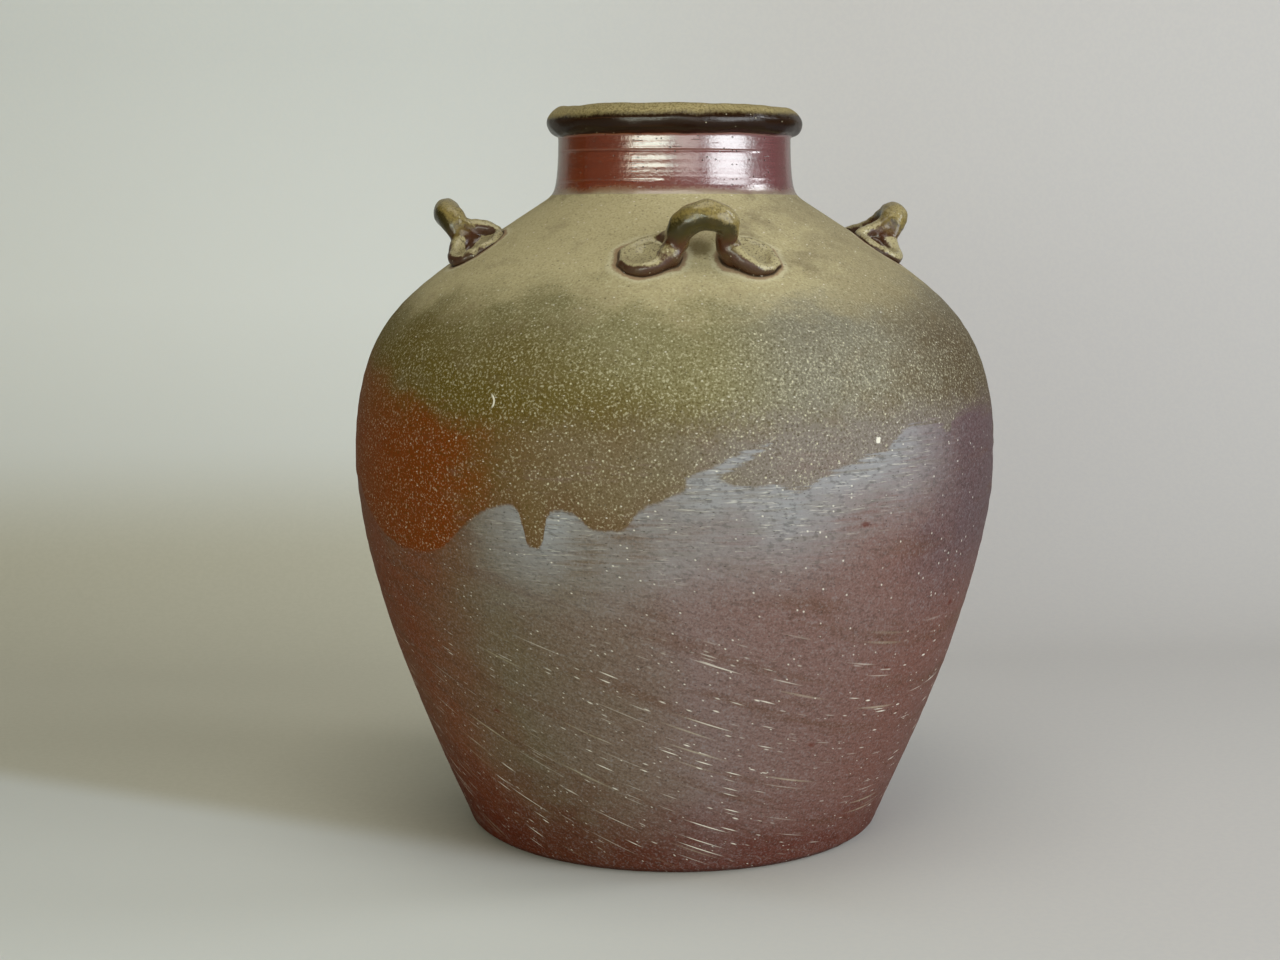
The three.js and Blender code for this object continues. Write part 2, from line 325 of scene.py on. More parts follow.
def skin_normals(lengths):
    """Directions out of the skin, worked out across the places where one piece ends and the next begins."""
    gap = 1.5 * LINE_STEP
    turn = ANGLES[1] - ANGLES[0]
    up = skin_points(lengths + gap, ANGLES) - skin_points(lengths - gap, ANGLES)
    middle = skin_points(lengths, ANGLES)
    across = np.roll(middle, -1, axis=1) - np.roll(middle, 1, axis=1)
    at_pole = np.linalg.norm(across, axis=2) < 1e-6
    level = turn * np.stack([np.cos(ANGLES), np.sin(ANGLES), 0 * ANGLES], axis=1)
    across[at_pole] = level[np.nonzero(at_pole)[1]]
    out = np.cross(across, up)
    return out / np.maximum(np.linalg.norm(out, axis=2), 1e-12)[..., None]


def rows_between(start, end, step):
    """Lengths from start to end, about a step apart."""
    return np.linspace(start, end, max(2, int(round(abs(end - start) / step)) + 1))


def turned_piece(name, runs, material):
    """A closed turned piece. Each run is (first length, last length, step) along the skin, and flat rings
    join the end of each run to the start of the next."""
    rows = [rows_between(*run) for run in runs]
    run_of = np.concatenate([np.full(len(row), k) for k, row in enumerate(rows)])
    lengths = np.concatenate(rows)
    rings, normals = skin_points(lengths, ANGLES), skin_normals(lengths)
    pole = np.hypot(rings[:, 0, 0], rings[:, 0, 1]) < 1e-3
    sizes = np.where(pole, 1, SEGMENTS)
    first = np.concatenate([[0], np.cumsum(sizes)])
    points = np.vstack([ring[:size] for ring, size in zip(rings, sizes)])
    point_normals = np.vstack([ring[:size] for ring, size in zip(normals, sizes)])
    spans = np.array([abs(end - start) for start, end, _ in runs])
    starts = np.concatenate([[0], np.cumsum(spans)]) / spans.sum()
    into_run = np.abs(lengths - np.array([run[0] for run in runs])[run_of])
    bake_v = starts[run_of] + 0.98 * into_run / spans.sum()
    a = np.arange(SEGMENTS)
    faces, uvs, loop_normals = [], [], []
    for i in range(len(rings)):
        j = (i + 1) % len(rings)
        if pole[i] and pole[j]:
            continue
        seam = run_of[i] != run_of[j] or j == 0
        v0, v1 = bake_v[i], bake_v[i] + SEAM_V if seam else bake_v[j]

        def ends(k, v, columns):
            """The corners that the faces of this band have on one ring: points, columns and heights."""
            if pole[k]:
                return [(first[k] + 0 * a, a + 0.5, v)]
            return [(first[k] + (a + d) % SEGMENTS, a + d, v) for d in columns]
        corners = ends(i, v0, (0, 1)) + ends(j, v1, (1, 0))
        block = np.stack([point for point, _, _ in corners], axis=1)
        faces += block.tolist()
        places = [np.stack([u / SEGMENTS, 0 * a + v], axis=1) for _, u, v in corners]
        uvs.append(np.stack(places, axis=1).reshape(-1, 2))
        if seam:
            upward = rings[i, 0, 2] + rings[j, 0, 2] > 2 * rings[:, :, 2].mean()
            loop_normals.append(np.tile((0, 0, 1 if upward else -1), (block.size, 1)))
        else:
            loop_normals.append(point_normals[block.ravel()])
    piece = mesh_piece(name, points, faces, material, np.vstack(loop_normals), np.vstack(uvs))
    inner = smooth(lengths, SKIN_LENGTHS[TURN] + 3, SKIN_LENGTHS[TURN] + 12)
    mark(piece, "inner", np.repeat(inner, sizes))
    return piece


def placed(name, data):
    piece = bpy.data.objects.new(name, data)
    bpy.context.scene.collection.objects.link(piece)
    return piece


def mesh_piece(name, points, faces, material, normals=None, uvs=None):
    """An object in the scene, of points in millimetres."""
    mesh = bpy.data.meshes.new(name)
    mesh.from_pydata((np.asarray(points) * MM).tolist(), [], faces)
    mesh.update()
    mesh.polygons.foreach_set("use_smooth", [True] * len(mesh.polygons))
    if uvs is not None:
        layer = mesh.uv_layers.new(name="OFBake")
        layer.uv.foreach_set("vector", uvs.astype(np.float32).ravel())
    if normals is not None:
        mesh.normals_split_custom_set(normals.tolist())
    mesh.materials.append(material)
    return placed(name, mesh)


def mark(piece, name, values):
    """Gives each point of a piece a value that its material can read."""
    layer = piece.data.attributes.new(name, "FLOAT", "POINT")
    layer.data.foreach_set("value", np.asarray(values, np.float32))


def points_of(piece):
    flat = np.empty(3 * len(piece.data.vertices), np.float32)
    piece.data.vertices.foreach_get("co", flat)
    return flat.reshape(-1, 3).astype(float) / MM


# Lugs: a coil of clay bent into an arch, whose ends are pressed flat on the shoulder with the thumb.
# Along is round the jar, across is up the slope and out is away from the shoulder. Each lug has its quarter
# turn, its setback down the slope, its height, pad width, sway, lean, and the reach of its two pads.
LUGS = {
    "lug_front": (0, 46.0, 25.4, 26.0, 1.2, -0.5, 33.6, 32.0),
    "lug_right": (1, 42.0, 23.6, 23.0, -0.6, -1.5, 32.4, 33.6),
    "lug_back": (2, 43.5, 24.6, 25.0, 0.8, 0.6, 33.0, 34.6),
    "lug_left": (3, 41.6, 25.2, 27.0, -1.0, -2.8, 33.4, 32.0),
}
LUG_GAP = 10.6
TOP_COIL = 12.0
LEG_COIL = 10.2
# How far the legs go into the shoulder, and the side of the cubes that the lugs are meshed in
SUNK = 1.2
LUG_PITCH = 0.6


def merged(a, b, softness):
    """Two distances as one, with a soft hollow where their shapes meet."""
    share = np.clip(0.5 + 0.5 * (b - a) / softness, 0, 1)
    return b * (1 - share) + a * share - softness * share * (1 - share)


def rounded_path(stations, steps):
    """A smooth path through stations of along, across, out and radius."""
    p = np.array(stations, float)
    p = np.vstack([2 * p[0] - p[1], p, 2 * p[-1] - p[-2]])
    out = []
    for a, b, c, d in zip(p, p[1:], p[2:], p[3:]):
        for t in np.arange(steps) / steps:
            out.append(0.5 * (2 * b + (c - a) * t + (2 * a - 5 * b + 4 * c - d) * t ** 2
                              + (3 * b - a - 3 * c + d) * t ** 3))
    return np.array(out + [p[-2]])


def coil(where, path, wide=1.0):
    """Distance from a coil that follows a path, with its width across the slope multiplied by wide."""
    best = np.full(where.shape[:-1], 1e3)
    spot = where.copy()
    spot[..., 1] /= wide
    for start, end in zip(path, path[1:]):
        step = end[:3] - start[:3]
        share = np.clip(((spot - start[:3]) @ step) / (step @ step), 0, 1)
        gap = np.linalg.norm(spot - start[:3] - share[..., None] * step, axis=-1)
        np.minimum(best, gap - (start[3] + share * (end[3] - start[3])), out=best)
    return best


def lug_paths(lug):
    """The coil from the top of the arch down each leg, the raised rims of each pad and the thumb's press,
    as stations of along, across, out and radius."""
    _, _, height, width, sway, lean, reach_left, reach_right = lug
    middle = height - TOP_COIL - LUG_GAP / 2
    half = width / 2
    legs, rims, thumbs = [], [], []
    for side, reach in ((-1, reach_left), (1, reach_right)):
        leg = []
        for k in range(7):
            turn = math.pi / 2 * (1 - k / 6)
            radius = (TOP_COIL + (LEG_COIL - TOP_COIL) * smooth(k / 6, 0.3, 1)) / 2
            arm = LUG_GAP / 2 + radius
            out = middle + arm * math.sin(turn)
            along = side * arm * math.cos(turn) + sway * out / height
            leg.append((along, lean * out / height, out, radius))
        foot = [(10.7, -0.6, middle - 3, 4.9), (12.4, -1.6, 2.0, 4.4), (14.0, -2.0, 0.5, 3.6)]
        low_rim = [(11.2, -1.4, 6.4, 4.4), (13.6, -half + 7.8, 4.4, 4.2), (17.8, -half + 4.7, 2.6, 3.5),
                   (reach - 10, -half + 3.4, 1.9, 3.0), (reach - 5, -half + 5.2, 1.4, 2.4),
                   (reach - 2.4, -half + 10.5, 0.9, 1.9)]
        high_rim = [low_rim[-1], (reach - 3.2, half - 7, 0.7, 1.6), (reach - 8.5, half - 2.8, 0.6, 1.5),
                    (reach - 15, half - 1.4, 0.9, 1.6), (15.0, half - 2.2, 2.4, 2.3),
                    (12.4, half - 5.0, 5.2, 2.7), (10.6, 2.6, 9.5, 3.4)]
        thumb = [(reach - 9.6, 0.8, 10.8, 9.2), (24.2, 0.9, 13.0, 9.1), (26.2, 0.8, 19, 9.2)]
        foot, low_rim, high_rim, thumb = (np.array(path) * (side, 1, 1, 1)
                                          for path in (foot, low_rim, high_rim, thumb))
        legs.append(rounded_path(np.vstack([leg, foot]), 3))
        rims.append((rounded_path(low_rim, 4), rounded_path(high_rim, 4)))
        thumbs.append(thumb)
    return legs, rims, thumbs


def flare_at(out):
    """How much wider across the slope a leg is than its coil, growing towards the shoulder."""
    return 1 + 0.35 * (1 - smooth(out, 1.5, 13))


def lug_field(name):
    """A function that gives the distance of points from the lug's clay, less than zero inside it."""
    lug = LUGS[name]
    legs, rims, thumbs = lug_paths(lug)
    half = lug[3] / 2
    rng = np.random.default_rng(60 + lug[0])
    waves = [(rng.normal(0, 1, 3) / rng.uniform(1.2, 4.5), rng.uniform(0, 6.28)) for _ in range(18)]

    def field(where):
        out = where[..., 2]
        clay = np.minimum(coil(where, legs[0], flare_at(out)), coil(where, legs[1], flare_at(out)))
        for side, rim, thumb, reach in zip((-1, 1), rims, thumbs, lug[6:]):
            long, middle = (reach - 12) / 2, side * (reach + 8) / 2
            flat = np.hypot((where[..., 0] - middle) / long, (where[..., 1] - 0.3) / (half - 1.6)) - 1
            plate = -merged(-flat * min(long, half - 1.6), -(np.abs(out + 0.6) - 2.6), 1.2)
            clay = merged(clay, plate, 2.2)
            clay = -merged(-clay, coil(where, thumb, 1.08), 1.6)
            clay = merged(merged(clay, coil(where, rim[0]), 1.3), coil(where, rim[1]), 1.8)
        for pace, start in waves:
            clay = clay + 0.07 * np.cos(where @ pace + start)
        return np.maximum(clay, -(out + SUNK))
    return field


def surface_of(field, low, high, pitch):
    """The surface where a field is zero: one point in each small cube that it crosses, joined by quads."""
    axes = [np.arange(a, b + pitch, pitch) for a, b in zip(low, high)]
    grid = np.stack(np.meshgrid(*axes, indexing="ij"), axis=-1)
    values = field(grid)
    cubes = np.array(values.shape) - 1
    total, count, found = np.zeros((*cubes, 3)), np.zeros(cubes), []
    for k in range(3):
        others = [m for m in range(3) if m != k]
        near, far = [slice(None)] * 3, [slice(None)] * 3
        near[k], far[k] = slice(0, -1), slice(1, None)
        a, b = values[tuple(near)], values[tuple(far)]
        crossing = (a < 0) != (b < 0)
        at = grid[tuple(near)].copy()
        at[..., k] += pitch * np.where(crossing, a / np.where(crossing, a - b, 1), 0)
        for p in (0, 1):
            for q in (0, 1):
                pick = [slice(None)] * 3
                pick[others[0]] = slice(p, cubes[others[0]] + p)
                pick[others[1]] = slice(q, cubes[others[1]] + q)
                met = crossing[tuple(pick)]
                total += np.where(met[..., None], at[tuple(pick)], 0)
                count += met
        found.append((k, others, crossing, a < 0))
    index = np.full(cubes, -1)
    index[count > 0] = np.arange(int((count > 0).sum()))
    points = total[count > 0] / count[count > 0][:, None]
    faces = []
    for k, others, crossing, leaving in found:
        places = np.argwhere(crossing)
        corners = []
        for p, q in ((0, 0), (1, 0), (1, 1), (0, 1)):
            spot = places.copy()
            spot[:, others[0]] -= p
            spot[:, others[1]] -= q
            corners.append(index[tuple(spot.T)])
        quad = np.stack(corners, axis=1)
        turn = leaving[tuple(places.T)] == (k == 1)
        quad[turn] = quad[turn][:, ::-1]
        faces.append(quad)
    faces = np.vstack(faces)
    for _ in range(3):
        value = field(points)
        slope = np.stack([(field(points + d) - field(points - d)) / 0.1 for d in 0.05 * np.eye(3)], axis=1)
        step = value[:, None] * slope / np.maximum((slope ** 2).sum(axis=1), 0.2)[:, None]
        points = points - np.clip(step, -0.4 * pitch, 0.4 * pitch)
    # Corners that all but meet are made one, so that no sliver joins four faces along one edge
    ends = np.vstack([faces[:, [k, (k + 1) % 4]] for k in range(4)])
    gap = np.linalg.norm(points[ends[:, 0]] - points[ends[:, 1]], axis=1)
    for a, b in ends[gap < 0.02]:
        faces[faces == b] = a
    faces = [list(dict.fromkeys(face)) for face in faces.tolist()]
    return points, [face for face in faces if len(face) > 2]


def seat_of(setback):
    """The radius and height of the middle of a lug's seat on the slope."""
    return np.array([NECK_BASE_RADIUS, NECK_HEIGHT]) - setback * UP_SLOPE


def draped(where, setback):
    """Places points given along, across and out onto the round shoulder, in the frame of the front lug."""
    flat = seat_of(setback) + where[:, 1:2] * UP_SLOPE
    low, high = np.full(len(where), -60.0), np.full(len(where), 60.0)
    for _ in range(36):
        middle = (low + high) / 2
        probe = flat + middle[:, None] * OUTWARD
        outside = np.hypot(where[:, 0], probe[:, 0]) > radius_at(probe[:, 1])
        high, low = np.where(outside, middle, high), np.where(outside, low, middle)
    spot = flat + (high + where[:, 2])[:, None] * OUTWARD
    return np.stack([where[:, 0], -spot[:, 0], spot[:, 1]], axis=1)


def turned_to(points, quarter):
    """Points turned about Z by quarter turns."""
    c, s = (1, 0, -1, 0)[quarter], (0, 1, 0, -1)[quarter]
    return points @ np.array([[c, s, 0], [-s, c, 0], [0, 0, 1]])


def lug_piece(name, material):
    """A lug as one surface, marked with what its colours follow."""
    quarter, setback, height, width, *_ = LUGS[name]
    reach = max(LUGS[name][6:]) + 3
    low, high = (-reach, -width / 2 - 4, -SUNK - 1), (reach, width / 2 + 4, height + 3)
    where, faces = surface_of(lug_field(name), low, high, LUG_PITCH)
    piece = mesh_piece(name, turned_to(draped(where, setback), quarter), faces, material)
    legs, _, _ = lug_paths(LUGS[name])
    from_legs = np.min([coil(where, leg, flare_at(where[:, 2])) for leg in legs], axis=0)
    normals = np.empty(3 * len(where), np.float32)
    piece.data.vertex_normals.foreach_get("vector", normals)
    mark(piece, "rise", where[:, 2])
    mark(piece, "pad", smooth(from_legs, 0.1, 1.2))
    mark(piece, "sky", normals[2::3] + 0.5 * normals[0::3])
    return piece


def beside_lug(points, quarter, setback):
    """Points in the frame of the front lug, and how far up the slope each is from the lug's seat."""
    local = turned_to(points, -quarter % 4)
    return local, (np.stack([-local[:, 1], local[:, 2]], axis=1) - seat_of(setback)) @ UP_SLOPE


def pad_distance(points):
    """How far each point of the shoulder is from the nearest lug's clay, up to 15 mm."""
    out = np.full(len(points), 15.0)
    for name, (quarter, setback, *_) in LUGS.items():
        local, across = beside_lug(points, quarter, setback)
        near = (np.abs(local[:, 0]) < 50) & (np.abs(across) < 30) & (local[:, 1] < -40)
        where = np.stack([local[near, 0], across[near], np.full(near.sum(), 0.8)], axis=1)
        out[near] = np.minimum(out[near], lug_field(name)(where))
    return out


def arch_shade(points):
    """Painted shade: one on the shoulder under the middle of a lug's arch, where the arch casts its shadow,
    and less round it.
    """
    out = np.zeros(len(points))
    for quarter, setback, *_ in LUGS.values():
        local, across = beside_lug(points, quarter, setback)
        away = np.hypot(local[:, 0] / 8, (across - 5.5) / 9) + 9 * (local[:, 1] > -40)
        out = np.maximum(out, 1 - smooth(away, 0.25, 1.1))
    return out


# Colours as they look in plain light, as sRGB out of 255
MAUVE = (120, 100, 96)
ROSE_BROWN = (115, 79, 70)
VIOLET_BROWN = (92, 75, 78)
GREIGE = (104, 90, 70)
FLASHED_BROWN = (112, 58, 28)
FOOT_RED = (84, 24, 2)
RUST = (113, 48, 0)
SILVER = (144, 146, 149)
DUN = (106, 92, 70)
DUN_LEFT = (99, 73, 35)
EDGE_BROWN = (92, 62, 42)
KHAKI = (180, 168, 130)
KHAKI_LOW = (124, 117, 84)
OLIVE = (90, 74, 20)
OLIVE_DARK = (72, 58, 20)
OLIVE_GOLD = (132, 114, 58)
KHAKI_GREY = (122, 117, 102)
DUN_MIDDLE = (112, 101, 80)
DUN_RIGHT = (120, 111, 104)
DUN_FAR = (90, 76, 69)
FAR_OLIVE = (80, 66, 48)
RIM_OLIVE = (158, 143, 98)
PAD_OLIVE = (176, 164, 124)
CREAM = (220, 214, 184)
GRIT_WHITE = (232, 226, 212)
SOOT = (44, 34, 26)
HALO_RED = (118, 66, 40)
NECK_ORANGE = (118, 44, 2)
NECK_VIOLET = (118, 70, 72)
LIP_BROWN = (36, 18, 4)
LIP_RED = (24, 3, 0)
LEG_GREEN = (56, 48, 18)
LEG_BROWN = (72, 41, 22)
RIM_BROWN = (68, 42, 22)
INSIDE_BROWN = (98, 76, 60)
BACKDROP = (219, 221, 217)
BACKDROP_LOW = (221, 223, 219)
BACKDROP_BEND = (226, 228, 225)
BACKDROP_HIGH = (214, 216, 214)
BACKDROP_RIGHT = (204, 201, 200)
BACKDROP_SIDES = (78, 76, 66)
SHADOW_TINT = (229, 223, 207)


def linear(colour):
    """A scene colour from sRGB values out of 255."""
    levels = [v / 255 for v in colour]
    return tuple(v / 12.92 if v <= 0.04045 else ((v + 0.055) / 1.055) ** 2.4 for v in levels) + (1.0,)


class Value:
    """A number that a material's nodes work out. Sums and products of values make the nodes for them."""

    def __init__(self, graph, socket):
        self.graph, self.socket = graph, socket

    def made(operation):
        return lambda self, other: self.graph.math(operation, self, other)

    __add__, __sub__, __mul__, __truediv__ = map(made, ("ADD", "SUBTRACT", "MULTIPLY", "DIVIDE"))

    def __rsub__(self, other):
        return self.graph.math("SUBTRACT", other, self)

    def __abs__(self):
        return self.graph.math("ABSOLUTE", self)

    def fade(self, start, end, high=1.0, low=0.0):
        """A smooth step from low at start to high at end."""
        node = self.graph.node("ShaderNodeMapRange", {"interpolation_type": "SMOOTHSTEP"}, Value=self,
                               From_Min=start, From_Max=end, To_Min=low, To_Max=high)
        return Value(self.graph, node.outputs["Result"])


class Graph:
    """The nodes of one material, with its places in millimetres."""

    def __init__(self, name):
        self.material = bpy.data.materials.new(name)
        self.material.use_nodes = True
        self.tree = self.material.node_tree
        self.tree.nodes.clear()
        place = self.node("ShaderNodeTexCoord").outputs["Object"]
        self.spot = self.vector("MULTIPLY", place, (1 / MM,) * 3)
        split = self.node("ShaderNodeSeparateXYZ", Vector=self.spot)
        self.x, self.y, self.z = (Value(self, socket) for socket in split.outputs)
        radius = self.most(self.math("SQRT", self.x * self.x + self.y * self.y), 1.0)
        # The sine and cosine of the angle round the jar from the front lug
        self.side = self.x / radius
        self.ahead = self.y * -1 / radius

    def node(self, kind, settings=None, *first, **named):
        """A node with its settings, its first inputs in their order and others by name."""
        node = self.tree.nodes.new(kind)
        for name, setting in (settings or {}).items():
            setattr(node, name, setting)
        self.fill(node.inputs, first)
        self.fill([node.inputs[name.replace("_", " ")] for name in named], named.values())
        return node

    def fill(self, sockets, values):
        for socket, value in zip(sockets, values):
            value = value.socket if isinstance(value, Value) else value
            if isinstance(value, bpy.types.NodeSocket):
                self.tree.links.new(value, socket)
            else:
                socket.default_value = linear(value) if socket.type == "RGBA" else value

    def math(self, operation, *values):
        return Value(self, self.node("ShaderNodeMath", {"operation": operation}, *values).outputs[0])

    def most(self, a, b):
        """The greater of two values."""
        return self.math("MAXIMUM", a, b)

    def vector(self, operation, *values):
        return self.node("ShaderNodeVectorMath", {"operation": operation}, *values).outputs["Vector"]

    def distance(self, place):
        node = self.node("ShaderNodeVectorMath", {"operation": "DISTANCE"}, self.spot, place)
        return Value(self, node.outputs["Value"])

    def mix(self, amount, under, over, blend="MIX"):
        """A colour laid over another by an amount."""
        node = self.node("ShaderNodeMix", {"data_type": "RGBA", "blend_type": blend})
        self.fill([node.inputs[k] for k in (0, 6, 7)], (amount, under, over))
        return node.outputs[2]

    def layered(self, colour, *layers):
        """A colour with others laid over it in turn, each after the amount of it."""
        for amount, over in layers:
            colour = self.mix(amount, colour, over)
        return colour

    def scaled(self, size, spot, shift):
        """Places measured in a size, along x, y and z or alike."""
        size = size if isinstance(size, tuple) else (size,) * 3
        return self.vector("DIVIDE", self.vector("ADD", spot or self.spot, shift), size)

    def noise(self, size, detail, rough, spot=None, shift=(0, 0, 0)):
        """Fractal noise about 0.5, with features of the size given."""
        node = self.node("ShaderNodeTexNoise", Vector=self.scaled(size, spot, shift), Scale=1.0,
                         Detail=detail, Roughness=rough)
        return Value(self, node.outputs["Fac"])

    def spots(self, size, share, core, edge, spot=None, shift=(0, 0, 0)):
        """Small marks on a share of many scattered points, full inside core and gone at edge."""
        cells = self.node("ShaderNodeTexVoronoi", Vector=self.scaled(size, spot, shift), Scale=1.0)
        pick = self.node("ShaderNodeSeparateColor", Color=cells.outputs["Color"]).outputs[0]
        return Value(self, cells.outputs["Distance"]).fade(edge, core) * self.math("LESS_THAN", pick, share)

    def ramp(self, value, stops):
        node = self.node("ShaderNodeValToRGB", Fac=value)
        points = node.color_ramp.elements
        while len(points) < len(stops):
            points.new(0.5)
        for point, (at, colour) in zip(points, stops):
            point.position, point.color = at, linear(colour)
        return node.outputs["Color"]

    def marked(self, name):
        """What the points of the piece were marked with."""
        return Value(self, self.node("ShaderNodeAttribute", {"attribute_name": name}).outputs["Fac"])

    def finish(self, colour, roughness, height, coat=0.0, ior=1.5, faded=None):
        """Ends the material with its colour, its roughness and its relief in millimetres. A sheet that is
        given how far it has faded into the pale room is also clear from behind."""
        bump = self.node("ShaderNodeBump", Height=height, Strength=1.0, Distance=MM)
        shader = self.node("ShaderNodeBsdfPrincipled", Base_Color=colour, Roughness=roughness,
                           Normal=bump.outputs["Normal"], IOR=ior, Coat_Weight=coat, Coat_Roughness=0.12)
        surface = shader.outputs["BSDF"]
        if faded is not None:
            room = self.node("ShaderNodeEmission", Color=BACKDROP_RIGHT).outputs["Emission"]
            clear = self.node("ShaderNodeBsdfTransparent").outputs["BSDF"]
            behind = self.node("ShaderNodeNewGeometry").outputs["Backfacing"]
            for amount, over in ((faded, room), (behind, clear)):
                surface = self.node("ShaderNodeMixShader", {}, amount, surface, over).outputs["Shader"]
            self.material.cycles.emission_sampling = "NONE"
        self.node("ShaderNodeOutputMaterial", Surface=surface)
        return self.material


# Noise of the clay: size in millimetres, detail and roughness
BROAD = (70, 3, 0.55)
MEDIUM = ((20, 20, 13), 4, 0.6)
FINE = (1.7, 3, 0.65)
GRAIN = (0.95, 2, 0.6)

# The drag lines on the lower wall rise and fall by this much, in millimetres, and start at this angle
DRAG_RISE = 53.2
DRAG_TURN = math.radians(40)


def wall_spot(degrees, height):
    """A place on the outside of the wall, in millimetres."""
    radius, angle = float(radius_at(height)), math.radians(degrees)
    return radius * math.sin(angle), -radius * math.cos(angle), height


NICK = wall_spot(-37.9, 200.7)
BIG_GRAIN = wall_spot(28, 185.7)


def khaki_ash(g, grain, fine, medium, broad):
    """Dry speckled ash, darker low on the shoulder and olive to the left."""
    medium0, broad0 = medium - 0.5, broad - 0.5
    level = g.z + medium0 * 34 + broad0 * 34
    olive_side = g.side + broad0 * 0.9 + (g.z - 218) * 0.02
    browned = g.side + medium0 * 1.2 + broad0 * 1.2
    far_right = g.side + medium0 * 0.3 + broad0 * 0.3
    gritty = level.fade(250, 205, 1, 0.45)
    return g.layered(
        KHAKI_LOW,
        (g.side.fade(-0.05, 0.3), KHAKI_GREY),
        (level.fade(226, 252), KHAKI),
        (olive_side.fade(-0.1, -0.95, 0.92), OLIVE),
        (browned.fade(0.25, 0.75, 0.45), DUN_MIDDLE),
        (far_right.fade(0.5, 0.84, 0.85) * g.z.fade(250, 216), FAR_OLIVE),
        (grain.fade(0.52, 0.68, 0.62) * gritty, OLIVE_DARK),
        (grain.fade(0.46, 0.34, 0.36) * gritty, CREAM),
        (medium.fade(0.52, 0.72, 0.3), DUN),
        (fine.fade(0.42, 0.27, 0.3), CREAM))


